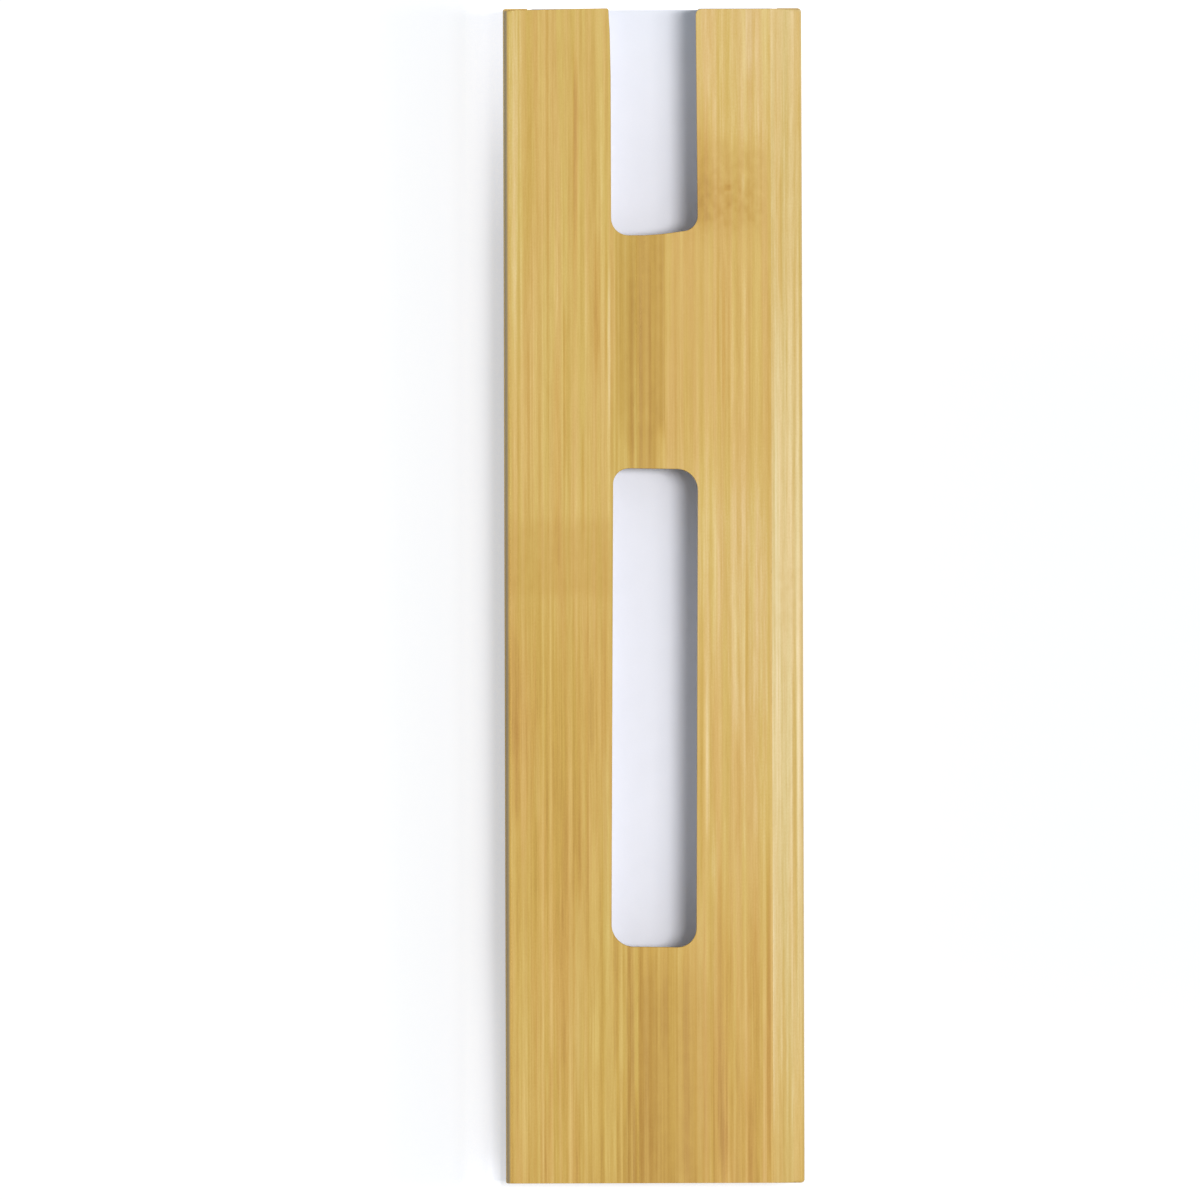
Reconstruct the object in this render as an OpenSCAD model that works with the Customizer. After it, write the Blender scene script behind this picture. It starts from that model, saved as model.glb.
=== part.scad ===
// Bamboo pen case: a sleeve of glued bamboo strips with a thumb notch and a window in its front
// panel, and a white tray that slides out of the notched end. The case lies on its back.
// X runs across it, Y along it towards the open end, Z up to the front panel.

/* [Case] */
// Length of the sleeve, from the closed end to the open end
case_l = 170; // [160:1:185]
// Width of the sleeve over both side rails
case_w = 43.2; // [42:0.1:48]
// Thickness of the sleeve over both panels
case_t = 18; // [15:0.5:22]
// Thickness of the front and back panels
panel_t = 3; // [2:0.25:4]
// Width of a side rail, seen from the open end
rail_w = 3.5; // [2.5:0.25:5]
// Length of the block that closes the far end
end_block_l = 4; // [3:0.5:10]
// Rounding of the sleeve's long edges
edge_r = 0.9; // [0.3:0.1:1.4]
// Rounding of the sleeve's corners, seen from the front
corner_r = 0.6; // [0.2:0.1:1.2]

/* [Staves] */
// Width of a full bamboo stave
stave_w = 19.5; // [17:0.1:20.5]
// Width of the cut stave at the front panel's left edge
front_first_stave_w = 19.2; // [16.5:0.1:20]
// Width of the cut stave at the back panel's left edge
back_first_stave_w = 7.4; // [4:0.1:18]

/* [Notch and window] */
// Width of the thumb notch
notch_w = 12.3; // [10:0.1:16]
// Depth of the thumb notch from the open end
notch_l = 32.7; // [20:0.1:45]
// Radius of the notch's two inner corners
notch_r = 1.9; // [0.5:0.1:4]
// Rounding where the notch meets the open end
notch_mouth_r = 0.6; // [0.2:0.1:1.5]
// Width of the window
window_w = 12.3; // [10:0.1:16]
// Length of the window
window_l = 68.9; // [40:0.1:80]
// Length of panel left between the notch and the window
bridge_l = 34.1; // [15:0.1:40]
// Radius of the window's corners
window_r = 2.1; // [0.5:0.1:4]

/* [Tray] */
// Thickness of the tray's side and end walls
tray_wall_t = 1.3; // [0.8:0.1:2]
// Thickness of the tray's floor
tray_floor_t = 1.3; // [0.8:0.1:2]
// Rounding of the tray's upright corners
tray_corner_r = 0.6; // [0.2:0.1:0.8]
// Clearance between the tray and each side rail
tray_side_gap = 0.3; // [0.15:0.05:0.8]
// Clearance between the tray's rim and the front panel
tray_top_gap = 0.5; // [0.2:0.05:1]
// Clearance between the tray's foot and the end block
tray_end_gap = 0.4; // [0.2:0.1:2]
// How much wider than the notch the gap in the tray's head wall is, on each side
head_gap_margin = 0.5; // [0.2:0.1:1.5]

/* [Liner] */
// Width of the slot that the pen lies in
pen_slot_w = 14; // [11:0.5:17]
// How far the liner stays below the tray's rim
liner_drop = 2; // [1:0.25:3]
// Rounding of the liner's edge along the slot
liner_r = 1.2; // [0.3:0.1:1.5]

/* [Hidden] */
$fn = 64;
// How far a cut runs past the solid it cuts
past = 1;
cavity_w = case_w - 2 * rail_w;
cavity_t = case_t - 2 * panel_t;
left_x = -case_w / 2;
right_x = case_w / 2;
open_y = case_l / 2;
closed_y = -case_l / 2;
front_z = case_t - panel_t;
cavity_foot_y = closed_y + end_block_l;
window_y = open_y - notch_l - bridge_l - window_l / 2;
front_seam_1_x = left_x + front_first_stave_w;
front_seam_2_x = front_seam_1_x + stave_w;
back_seam_1_x = left_x + back_first_stave_w;
back_seam_2_x = back_seam_1_x + stave_w;
tray_w = cavity_w - 2 * tray_side_gap;
tray_t = cavity_t - tray_top_gap;
tray_l = open_y - cavity_foot_y - tray_end_gap;
tray_y = open_y - tray_l / 2;
tray_inner_w = tray_w - 2 * tray_wall_t;
tray_inner_l = tray_l - 2 * tray_wall_t;
tray_floor_z = panel_t + tray_floor_t;
head_gap_w = notch_w + 2 * head_gap_margin;
liner_t = tray_t - tray_floor_t - liner_drop;

// A rectangle centred on the origin, with true arcs at its corners
module rounded_rectangle(w, h, r) {
    square([w - 2 * r, h], center = true);
    square([w, h - 2 * r], center = true);
    for (sx = [-1, 1], sy = [-1, 1])
        translate([sx * (w / 2 - r), sy * (h / 2 - r)]) circle(r);
}

// The sleeve as one solid block: rounded seen from the front and seen from the open end
module sleeve_block() {
    intersection() {
        linear_extrude(case_t) rounded_rectangle(case_w, case_l, corner_r);
        translate([0, open_y, case_t / 2]) rotate([90, 0, 0])
            linear_extrude(case_l) rounded_rectangle(case_w, case_t, edge_r);
    }
}

// The part of the sleeve block between two corners, from which each bamboo piece is cut
module sleeve_slice(x0, x1, y0, y1, z0, z1) {
    intersection() {
        sleeve_block();
        translate([x0, y0, z0]) cube([x1 - x0, y1 - y0, z1 - z0]);
    }
}

// What the notch takes out of the front panel, with its eased mouth
module notch_cut() {
    translate([0, open_y, front_z - past]) linear_extrude(panel_t + 2 * past) {
        translate([0, -notch_l / 2]) rounded_rectangle(notch_w, notch_l, notch_r);
        translate([-notch_w / 2, -notch_l / 2]) square([notch_w, notch_l / 2 + past]);
        for (side = [-1, 1]) scale([side, 1]) difference() {
            translate([0, -notch_mouth_r])
                square([notch_w / 2 + notch_mouth_r, notch_mouth_r + past]);
            translate([notch_w / 2 + notch_mouth_r, -notch_mouth_r]) circle(notch_mouth_r);
        }
    }
}

// What the window takes out of the front panel
module window_cut() {
    translate([0, window_y, front_z - past]) linear_extrude(panel_t + 2 * past)
        rounded_rectangle(window_w, window_l, window_r);
}

// One stave of the front panel, between two seams
module front_stave(x0, x1) {
    difference() {
        sleeve_slice(x0, x1, closed_y, open_y, front_z, case_t);
        notch_cut();
        window_cut();
    }
}

// One stave of the back panel, between two seams
module back_stave(x0, x1) {
    sleeve_slice(x0, x1, closed_y, open_y, 0, panel_t);
}

module front_stave_left() {
    color([0.83, 0.71, 0.42]) front_stave(left_x, front_seam_1_x);
}

module front_stave_centre() {
    color([0.84, 0.71, 0.45]) front_stave(front_seam_1_x, front_seam_2_x);
}

module front_stave_right() {
    color([0.89, 0.80, 0.58]) front_stave(front_seam_2_x, right_x);
}

module back_stave_left() {
    color([0.85, 0.73, 0.47]) back_stave(left_x, back_seam_1_x);
}

module back_stave_centre() {
    color([0.82, 0.69, 0.41]) back_stave(back_seam_1_x, back_seam_2_x);
}

module back_stave_right() {
    color([0.84, 0.72, 0.45]) back_stave(back_seam_2_x, right_x);
}

module left_side_rail() {
    color([0.79, 0.66, 0.40])
        sleeve_slice(left_x, left_x + rail_w, closed_y, open_y, panel_t, front_z);
}

module right_side_rail() {
    color([0.81, 0.68, 0.43])
        sleeve_slice(right_x - rail_w, right_x, closed_y, open_y, panel_t, front_z);
}

module end_block() {
    color([0.78, 0.64, 0.38])
        sleeve_slice(-cavity_w / 2, cavity_w / 2, closed_y, cavity_foot_y, panel_t, front_z);
}

// The white tray: a floor, two sides, a foot wall and a head wall with a gap behind the notch
module tray() {
    color([0.93, 0.93, 0.96]) difference() {
        translate([0, tray_y, panel_t]) linear_extrude(tray_t)
            rounded_rectangle(tray_w, tray_l, tray_corner_r);
        translate([-tray_inner_w / 2, tray_y - tray_inner_l / 2, tray_floor_z])
            cube([tray_inner_w, tray_inner_l, tray_t]);
        translate([-head_gap_w / 2, tray_y, tray_floor_z])
            cube([head_gap_w, tray_l, tray_t]);
    }
}

// One foam strip of the liner, on the side given as -1 or 1, with its slot edge rounded
module liner(side) {
    strip_w = (tray_inner_w - pen_slot_w) / 2;
    translate([0, tray_y + tray_inner_l / 2, tray_floor_z]) rotate([90, 0, 0])
        linear_extrude(tray_inner_l) scale([side, 1]) translate([pen_slot_w / 2, 0]) {
            translate([liner_r, 0]) square([strip_w - liner_r, liner_t]);
            square([strip_w, liner_t - liner_r]);
            translate([liner_r, liner_t - liner_r]) circle(liner_r);
        }
}

module liner_left() {
    color([0.95, 0.95, 0.97]) liner(-1);
}

module liner_right() {
    color([0.95, 0.95, 0.97]) liner(1);
}

front_stave_left();
front_stave_centre();
front_stave_right();
back_stave_left();
back_stave_centre();
back_stave_right();
left_side_rail();
right_side_rail();
end_block();
tray();
liner_left();
liner_right();
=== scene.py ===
# A bamboo pen case lying on its back on a white table, seen from straight above: a sleeve glued up from
# bamboo staves, with a thumb notch and a window in its front panel, and a white tray that slides inside it.
# Lengths are in millimetres up to the point where Blender is given them, and MM turns them to metres.
import bpy
import math
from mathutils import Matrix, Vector


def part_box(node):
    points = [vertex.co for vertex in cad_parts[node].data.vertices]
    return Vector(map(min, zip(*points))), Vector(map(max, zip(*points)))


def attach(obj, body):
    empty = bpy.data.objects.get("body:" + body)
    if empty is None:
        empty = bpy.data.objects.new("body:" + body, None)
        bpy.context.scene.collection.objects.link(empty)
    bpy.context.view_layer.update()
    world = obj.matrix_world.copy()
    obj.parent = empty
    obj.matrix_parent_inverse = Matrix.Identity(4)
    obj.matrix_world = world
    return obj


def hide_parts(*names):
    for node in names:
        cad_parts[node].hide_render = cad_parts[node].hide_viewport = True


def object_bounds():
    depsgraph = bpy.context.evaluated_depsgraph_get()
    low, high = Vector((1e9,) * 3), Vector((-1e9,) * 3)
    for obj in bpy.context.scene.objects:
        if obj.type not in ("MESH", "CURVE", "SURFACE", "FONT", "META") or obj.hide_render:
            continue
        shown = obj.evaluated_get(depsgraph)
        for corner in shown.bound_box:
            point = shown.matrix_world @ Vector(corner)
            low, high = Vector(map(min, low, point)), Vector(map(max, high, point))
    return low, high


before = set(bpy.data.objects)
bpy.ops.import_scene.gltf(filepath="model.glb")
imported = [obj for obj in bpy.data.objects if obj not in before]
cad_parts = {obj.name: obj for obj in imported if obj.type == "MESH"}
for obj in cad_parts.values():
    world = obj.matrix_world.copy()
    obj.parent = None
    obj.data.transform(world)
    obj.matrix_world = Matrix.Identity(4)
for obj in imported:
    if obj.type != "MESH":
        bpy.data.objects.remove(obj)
cad_low, cad_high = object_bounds()

MM = 0.001
NEAR = 0.02                                  # two places closer than this, in mm, are the same place
MERGE = 1e-7                                 # two vertices closer than this, in metres, are one

# The case, as its CAD nodes measure it
RIGHT_X = cad_high.x / MM
LEFT_X = cad_low.x / MM
OPEN_Y = cad_high.y / MM
CLOSED_Y = cad_low.y / MM
TOP_Z = cad_high.z / MM
BOTTOM_Z = cad_low.z / MM
FRONT_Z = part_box("front_stave_left")[0].z / MM
BACK_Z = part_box("back_stave_left")[1].z / MM
FRONT_SEAM_1_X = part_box("front_stave_left")[1].x / MM
FRONT_SEAM_2_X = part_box("front_stave_right")[0].x / MM
BACK_SEAM_1_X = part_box("back_stave_left")[1].x / MM
BACK_SEAM_2_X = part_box("back_stave_right")[0].x / MM

# Both openings were cut by hand: each corner has its own radius, and none is quite square
OPENINGS_X = 0.14                            # how far right of the centre line they lie
NOTCH_W, NOTCH_L = 12.3, 32.85
NOTCH_FOOT_LEFT_R, NOTCH_FOOT_RIGHT_R = 2.5, 1.9
NOTCH_FOOT_RISE = 0.85                       # how far the notch's foot slants up to its right corner
NOTCH_FOOT_LEAN = 0.22                       # how far its right side leans out at the foot
NOTCH_FOOT_BENDS = ((-1.2, 0.0), (1.2, 0.16))       # across from its middle, and the rise there
NOTCH_SIDE_BENDS = ((10.0, 0.0), (3.5, -0.12))      # back from the open end, and the left side's flare there
NOTCH_FLARE = -0.42                          # its flare where the cutter ends, beyond the open end
NOTCH_MOUTH_RADII = {1: 0.85, -1: 0.3}       # right and left
# The window's corners by right or left and open or closed end: x, y and radius
WINDOW_CORNERS = {(-1, 1): (-5.81, 18.45, 2.3), (1, 1): (6.43, 18.27, 3.0),
                  (-1, -1): (-6.24, -50.76, 3.2), (1, -1): (6.04, -50.92, 2.75)}
CUTTER_PAST_FACE = 1.0                       # how far a cutter reaches past the panel's faces
CUTTER_PAST_END = 2.0

# How the sleeve was sanded
CORNER_RADII = {(1, 1): 0.6, (1, -1): 0.5, (-1, 1): 0.35, (-1, -1): 0.25}   # keys as the window's
LONG_EDGE_R = 0.85
FRONT_ARRIS, HIDDEN_ARRIS, BACK_ARRIS, SEAM_ARRIS = 0.1, 0.12, 0.15, 0.05
LEFT_EDGE_WEAR = 1.5                         # how much further down its side the left long edge is worn
LEFT_CORNER_BACK, RIGHT_HALF_BACK = -0.25, -0.12    # how far these lie behind the rest of the open end

# The tray and its liner
TRAY_WALL_T, TRAY_FLOOR_T = 1.3, 1.3
TRAY_CORNER_R, TRAY_RIM_R, HEAD_GAP_R = 0.6, 0.3, 0.15
HEAD_GAP_W = 13.3                            # the gap in the tray's head wall, behind the notch
LINER_SLOT_R, LINER_EDGE_R = 1.2, 0.3

# How far from its place, in mm, an edge or vertex is looked for
CORNER_ZONE_X, CORNER_ZONE_Y = 1.0, 0.6      # the case's upright corners
LONG_EDGE_ZONE = 1.2                         # its rounded long edges
SIDE_ZONE = 0.3                              # its sides
WEAR_ZONE_X, WEAR_ZONE_Z = 0.9, 1.0          # the worn left long edge
LEFT_CORNER_ZONE = 2.0                       # the outer left corner of the open end
MOUTH_ZONE_X, MOUTH_ZONE_Y = 1.0, 0.3        # the notch's mouth
OPENING_ZONE_X, OPEN_END_ZONE = 2.0, 0.05    # the edges behind the openings, and the open end that they meet
CUTTER_ZONE = 0.3                            # a cutter's upright edges
SHORTEST_SEAM_EDGE = 1.0                     # what is shorter in a seam's plane belongs to the sanded ends
FLAT_COSINE = 0.9999                         # two faces are one flat face above this cosine between them


# Modelling by hand

def cad_box(node):
    """The lowest and the highest corner of a CAD node, in mm."""
    low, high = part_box(node)
    return low / MM, high / MM


def take(piece):
    """Makes the piece the one that the next operators act on."""
    bpy.ops.object.select_all(action="DESELECT")
    piece.select_set(True)
    bpy.context.view_layer.objects.active = piece


def block(name, low, high):
    """A squared block between two corners, which the operators then shape."""
    bpy.ops.object.select_all(action="DESELECT")
    low, high = Vector(low) * MM, Vector(high) * MM
    bpy.ops.mesh.primitive_cube_add(size=1, location=(low + high) / 2, scale=high - low)
    bpy.ops.object.transform_apply(location=True, rotation=True, scale=True)
    piece = bpy.context.object
    piece.name = piece.data.name = name
    return piece


def pick(piece, part, wanted):
    """Goes into edit mode with only those vertices, bent edges or faces selected that wanted() is true of."""
    take(piece)
    bpy.ops.object.mode_set(mode="EDIT")
    bpy.ops.mesh.select_mode(type=part)
    bpy.ops.mesh.select_all(action="DESELECT")
    bpy.ops.object.mode_set(mode="OBJECT")
    mesh = piece.data
    places = [vertex.co / MM for vertex in mesh.vertices]
    if part == "VERT":
        for vertex in mesh.vertices:
            vertex.select = wanted(places[vertex.index])
    elif part == "EDGE":
        sides = {}
        for face in mesh.polygons:
            for key in face.edge_keys:
                sides.setdefault(key, []).append(face.normal)
        for edge in mesh.edges:
            bent = len(sides[edge.key]) < 2 or sides[edge.key][0].dot(sides[edge.key][1]) < FLAT_COSINE
            edge.select = bent and wanted(*[places[i] for i in edge.vertices])
    else:
        for face in mesh.polygons:
            face.select = wanted(face.center / MM, face.normal)
    bpy.ops.object.mode_set(mode="EDIT")


def round_edges(piece, radius, wanted, segments=4):
    """Rounds the edges that wanted() is true of."""
    pick(piece, "EDGE", wanted)
    bpy.ops.mesh.bevel(offset=radius * MM, segments=segments, profile=0.5, affect="EDGES",
                       clamp_overlap=False)
    bpy.ops.object.mode_set(mode="OBJECT")


def draw(piece, way, wanted):
    """Moves the vertices that wanted() is true of."""
    pick(piece, "VERT", wanted)
    bpy.ops.transform.translate(value=Vector(way) * MM)
    bpy.ops.object.mode_set(mode="OBJECT")


def score(piece, place, square_to):
    """Adds a ring of edges round the piece, where a plane through the place cuts it."""
    take(piece)
    bpy.ops.object.mode_set(mode="EDIT")
    bpy.ops.mesh.select_all(action="SELECT")
    bpy.ops.mesh.bisect(plane_co=Vector(place) * MM, plane_no=square_to, threshold=MERGE)
    bpy.ops.object.mode_set(mode="OBJECT")


def cut_away(piece, cutter):
    """Cuts the cutter's shape out of the piece."""
    take(piece)
    bpy.ops.object.modifier_add(type="BOOLEAN")
    cut = piece.modifiers[-1]
    cut.operation, cut.solver, cut.object = "DIFFERENCE", "EXACT", cutter
    bpy.ops.object.modifier_apply(modifier=cut.name)
    bpy.data.objects.remove(cutter)


def saw(piece, x, keep):
    """Saws the piece along the plane at x, and keeps its left or its right part with the cut closed."""
    take(piece)
    bpy.ops.object.mode_set(mode="EDIT")
    bpy.ops.mesh.select_all(action="SELECT")
    bpy.ops.mesh.bisect(plane_co=(x * MM, 0, 0), plane_no=(1, 0, 0), use_fill=True,
                        clear_inner=keep == "right", clear_outer=keep == "left", threshold=MERGE)
    bpy.ops.object.mode_set(mode="OBJECT")


def copy_of(piece, name):
    """A copy of the piece with its own mesh."""
    take(piece)
    bpy.ops.object.duplicate(linked=False)
    made = bpy.context.object
    made.name = made.data.name = name
    return made


def finish_surface(piece):
    """Turns the faces outwards and lets the large flat faces rule the shading at the rounded edges."""
    take(piece)
    bpy.ops.object.mode_set(mode="EDIT")
    bpy.ops.mesh.select_all(action="SELECT")
    bpy.ops.mesh.remove_doubles(threshold=MERGE)
    bpy.ops.mesh.normals_make_consistent(inside=False)
    bpy.ops.object.mode_set(mode="OBJECT")
    bpy.ops.object.shade_smooth_by_angle(angle=math.radians(40))
    bpy.ops.object.modifier_add(type="WEIGHTED_NORMAL")
    even = piece.modifiers[-1]
    even.keep_sharp, even.weight = True, 100
    bpy.ops.object.modifier_apply(modifier=even.name)


def at(value, place):
    """Whether a coordinate lies at this place."""
    return abs(value - place) < NEAR


def upright(a, b):
    """Whether the edge between two vertices stands straight up."""
    return at(a.x, b.x) and at(a.y, b.y) and not at(a.z, b.z)


def level_at(a, b, z):
    """Whether the edge between two vertices lies at this height."""
    return at(a.z, z) and at(b.z, z)


# Materials

def colour(code):
    """An sRGB hex colour as Blender's linear one."""
    parts = [int(code[i:i + 2], 16) / 255 for i in (1, 3, 5)]
    return tuple(c / 12.92 if c <= 0.04045 else ((c + 0.055) / 1.055) ** 2.4 for c in parts) + (1.0,)


def new_material(name):
    """An empty material and its node tree."""
    made = bpy.data.materials.new(name)
    made.use_nodes = True
    made.node_tree.nodes.clear()
    return made, made.node_tree


def add(tree, kind, inputs, stops=(), out=0, **settings):
    """Adds a node and returns one of its outputs. Each input is given a value, or is linked where another
    node's output is given. A colour ramp also gets its stops, each a place and a colour or a plain value."""
    made = tree.nodes.new(kind)
    for name, value in settings.items():
        setattr(made, name, value)
    for socket, value in inputs.items():
        if isinstance(value, bpy.types.NodeSocket):
            tree.links.new(value, made.inputs[socket])
        else:
            made.inputs[socket].default_value = value
    if stops:
        elements = made.color_ramp.elements
        while len(elements) < len(stops):
            elements.new(1.0)
        for element, (place, code) in zip(elements, stops):
            element.position = place
            element.color = colour(code) if isinstance(code, str) else (code, code, code, 1.0)
    return made.outputs[out] if made.outputs else None


def place_in_mm(tree):
    """The place on the case, in mm."""
    place = add(tree, "ShaderNodeTexCoord", {}, out="Object")
    return add(tree, "ShaderNodeVectorMath", {0: place, 1: (1 / MM,) * 3}, operation="MULTIPLY")


def surface(tree, paint, roughness, gloss, relief, depth, strength=0.3, ior=1.45, sunken=False):
    """Ends a material that isn't metal: its colour, how rough and glossy it is, and its fine relief, this
    deep in mm, which lies in the surface instead of on it where it is sunken."""
    bump = add(tree, "ShaderNodeBump", {"Height": relief, "Strength": strength, "Distance": depth * MM},
               invert=sunken)
    shader = add(tree, "ShaderNodeBsdfPrincipled", {"Base Color": paint, "Roughness": roughness, "IOR": ior,
                                                    "Specular IOR Level": gloss, "Normal": bump})
    add(tree, "ShaderNodeOutputMaterial", {"Surface": shader})


# Bamboo's colours by its tone, from the pale pith side to the brown at a knuckle
BAMBOO_TONES = [(0.0, "#EFDBB1"), (0.25, "#E2C98F"), (0.5, "#D3B163"), (0.75, "#C89F4B"), (1.0, "#B48636")]
OLIVE_AND_REDDISH = ("#FBFDF0", "#FFFBFF")
EVEN_STREAKS = [(0.0, 0.9), (1.0, 1.0)]
# Painted shade: the grey that darkens the rounded left edge, which turns away from the lamps
EDGE_SHADE_GREY = "#877D6E"
BAMBOO_GLOSS = 0.25                          # a thin satin oil, which shines less than a varnish
BAMBOO_ROUGHNESS, ROUGHER_LINES = 0.5, 0.1
# Its patterns: how wide and long their spots are in mm, how finely they break up, and where in the noise each
# of them starts, so that no two coincide. Lines and hairs come and go where their "show" pattern lets them.
GRAIN = {"bands": (3.2, 60.0, 1.0, 47.3), "reddish": (1.1, 40.0, 1.0, 103.9),
         "lines": (0.6, 110.0, 0.6, 3.1), "lines show": (1.3, 15.0, 0.0, 11.7),
         "hairs": (0.3, 80.0, 0.0, 23.3), "hairs show": (0.8, 13.0, 0.0, 31.9),
         "fibres": (0.22, 4.0, 1.0, 59.1), "grit": (0.2, 0.3, 0.0, 65.3),
         "ragged end": (0.9, 6.0, 1.0, 71.3), "speckle": (1.0, 1.7, 3.0, 83.7),
         "sway": (9.0, 28.0, 1.0, 97.1)}
PATTERN_STEP = 7.0                           # how much of a stave's shift moves its patterns by one spot
# How strongly each of these shows in the tone
BANDS, LINES, HAIRS, FIBRES, GRIT = 0.12, 0.13, 0.1, 0.17, 0.07
PATCH_CALM = 0.4                             # what share of the streaks a patch takes away
SWAY = 0.24                                  # how far a mark sways from side to side, in mm
MARK_SOFT_X, MARK_SOFT_Y = 0.6, 0.5          # how softly a mark ends, as a share of its half sizes
DULLER = 0.3                                 # how much duller a fibre is than its tone makes it


def bamboo(name, tones, shift, streaks=EVEN_STREAKS, tints=OLIVE_AND_REDDISH, marks=(), patches=(), golden=(),
           across=False, painted_edge_shade=0.0):
    """Planed and sanded bamboo with a thin satin oil finish: straight fibres in soft streaks, olive beside
    reddish, and a mottled brown band where the stave has a knuckle.
    tones gives the stave's own tone, 0 pale to 1 brown, at places from its open end, 0, to its closed end, 1,
    and streaks how strong its streaks are there. shift gives it another place in the pattern than the other
    staves have. tints colours the olive and the reddish fibres, and across turns the grain to run across the
    case. A mark is a streak of its own: its middle, its half sizes and what it adds to the tone. A patch is a
    knuckle or a browner, calmer place: its middle, half sizes, what it adds to the tone, how mottled it is,
    how softly it ends across and along the stave, and how ragged it ends along it, in mm. golden lists places
    where the reddish fibres are missing, each with its middle, half sizes and softness. The last argument is
    how strongly grey painted shade darkens the rounded left edge, where it turns away from the lamps."""
    made, tree = new_material(name)
    place = add(tree, "ShaderNodeMapping", {"Vector": add(tree, "ShaderNodeTexCoord", {}, out="Object"),
                "Scale": (1 / MM,) * 3, "Rotation": (0, 0, math.radians(90 if across else 0))})

    def grain(name):
        """A pattern drawn out along the stave."""
        width, length, detail, start = GRAIN[name]
        spots = add(tree, "ShaderNodeMapping", {"Vector": place, "Scale": (1 / width, 1 / length, 1 / width),
                                                "Location": [s / PATTERN_STEP + start for s in shift]})
        return add(tree, "ShaderNodeTexNoise", {"Vector": spots, "Scale": 1.0, "Detail": detail,
                                                "Roughness": 0.5})

    def bold_grain(name, weakest, strongest, margin=0.3):
        """The same with its middle values spread out, so that it runs from the weakest to the strongest."""
        return add(tree, "ShaderNodeMapRange", {"Value": grain(name), "From Min": margin,
                   "From Max": 1 - margin, "To Min": weakest, "To Max": strongest},
                   interpolation_type="SMOOTHSTEP")

    def shape(where, middle, half_x, half_y, soft_x, soft_y):
        """1 inside a long shape, fading to 0 outside it."""
        unit = add(tree, "ShaderNodeMapping", {"Vector": where, "Scale": (1 / half_x, 1 / half_y, 0),
                   "Location": (-middle[0] / half_x, -middle[1] / half_y, 0)})
        away = add(tree, "ShaderNodeVectorMath", {0: unit}, operation="ABSOLUTE")
        away = add(tree, "ShaderNodeSeparateXYZ", {0: away}).node.outputs
        inside = [add(tree, "ShaderNodeMapRange", {"Value": away[axis], "From Min": 1 - soft,
                      "From Max": 1 + soft, "To Min": 1.0, "To Max": 0.0}, interpolation_type="SMOOTHSTEP")
                  for axis, soft in (("X", soft_x), ("Y", soft_y))]
        return add(tree, "ShaderNodeMath", {0: inside[0], 1: inside[1]}, operation="MULTIPLY")

    # Streaks run dead straight, because their pattern hardly changes along the stave, and come and go with
    # a second pattern that does
    lines, lines_show = bold_grain("lines", -0.5, 0.5, margin=0.33), bold_grain("lines show", 0.35, 1.45)
    hairs, hairs_show = bold_grain("hairs", -0.5, 0.5), bold_grain("hairs show", 0.1, 1.2)
    shown_lines = add(tree, "ShaderNodeMath", {0: lines, 1: lines_show}, operation="MULTIPLY")
    shown_hairs = add(tree, "ShaderNodeMath", {0: hairs, 1: hairs_show}, operation="MULTIPLY")
    fibres = grain("fibres")

    # How much browner each spot of the wood is than the stave's own tone
    wood = -BANDS / 2
    for pattern, contrast in ((grain("bands"), BANDS), (shown_lines, LINES), (shown_hairs, HAIRS)):
        wood = add(tree, "ShaderNodeMath", {0: pattern, 1: contrast, 2: wood}, operation="MULTIPLY_ADD")
    along = add(tree, "ShaderNodeSeparateXYZ", {0: place}, out="Y")
    along = add(tree, "ShaderNodeMapRange", {"Value": along, "From Min": OPEN_Y, "From Max": CLOSED_Y})
    strength = add(tree, "ShaderNodeValToRGB", {0: along}, stops=streaks)
    wood = add(tree, "ShaderNodeMath", {0: wood, 1: strength, 2: -(FIBRES + GRIT) / 2},
               operation="MULTIPLY_ADD")
    for pattern, contrast in ((fibres, FIBRES), (grain("grit"), GRIT)):
        wood = add(tree, "ShaderNodeMath", {0: pattern, 1: contrast, 2: wood}, operation="MULTIPLY_ADD")

    # A patch calms the streaks, browns the wood and mottles it
    if patches:
        rag = add(tree, "ShaderNodeMath", {0: grain("ragged end"), 1: 2.0, 2: -1.0}, operation="MULTIPLY_ADD")
        speckle = add(tree, "ShaderNodeMath", {0: grain("speckle"), 1: -0.5}, operation="ADD")
    for middle, half_x, half_y, browner, mottled, soft_x, soft_y, ragged in patches:
        moved = add(tree, "ShaderNodeMath", {0: rag, 1: ragged}, operation="MULTIPLY")
        moved = add(tree, "ShaderNodeCombineXYZ", {"Y": moved})
        where = add(tree, "ShaderNodeVectorMath", {0: moved, 1: place}, operation="ADD")
        here = shape(where, middle, half_x, half_y, soft_x, soft_y)
        calm = add(tree, "ShaderNodeMath", {0: here, 1: -PATCH_CALM, 2: 1.0}, operation="MULTIPLY_ADD")
        brown = add(tree, "ShaderNodeMath", {0: here, 1: browner}, operation="MULTIPLY")
        wood = add(tree, "ShaderNodeMath", {0: wood, 1: calm, 2: brown}, operation="MULTIPLY_ADD")
        mottle = add(tree, "ShaderNodeMath", {0: speckle, 1: here}, operation="MULTIPLY")
        wood = add(tree, "ShaderNodeMath", {0: mottle, 1: mottled, 2: wood}, operation="MULTIPLY_ADD")

    own_tone = add(tree, "ShaderNodeValToRGB", {0: along}, stops=tones)
    total = add(tree, "ShaderNodeMath", {0: wood, 1: own_tone}, operation="ADD")

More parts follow.
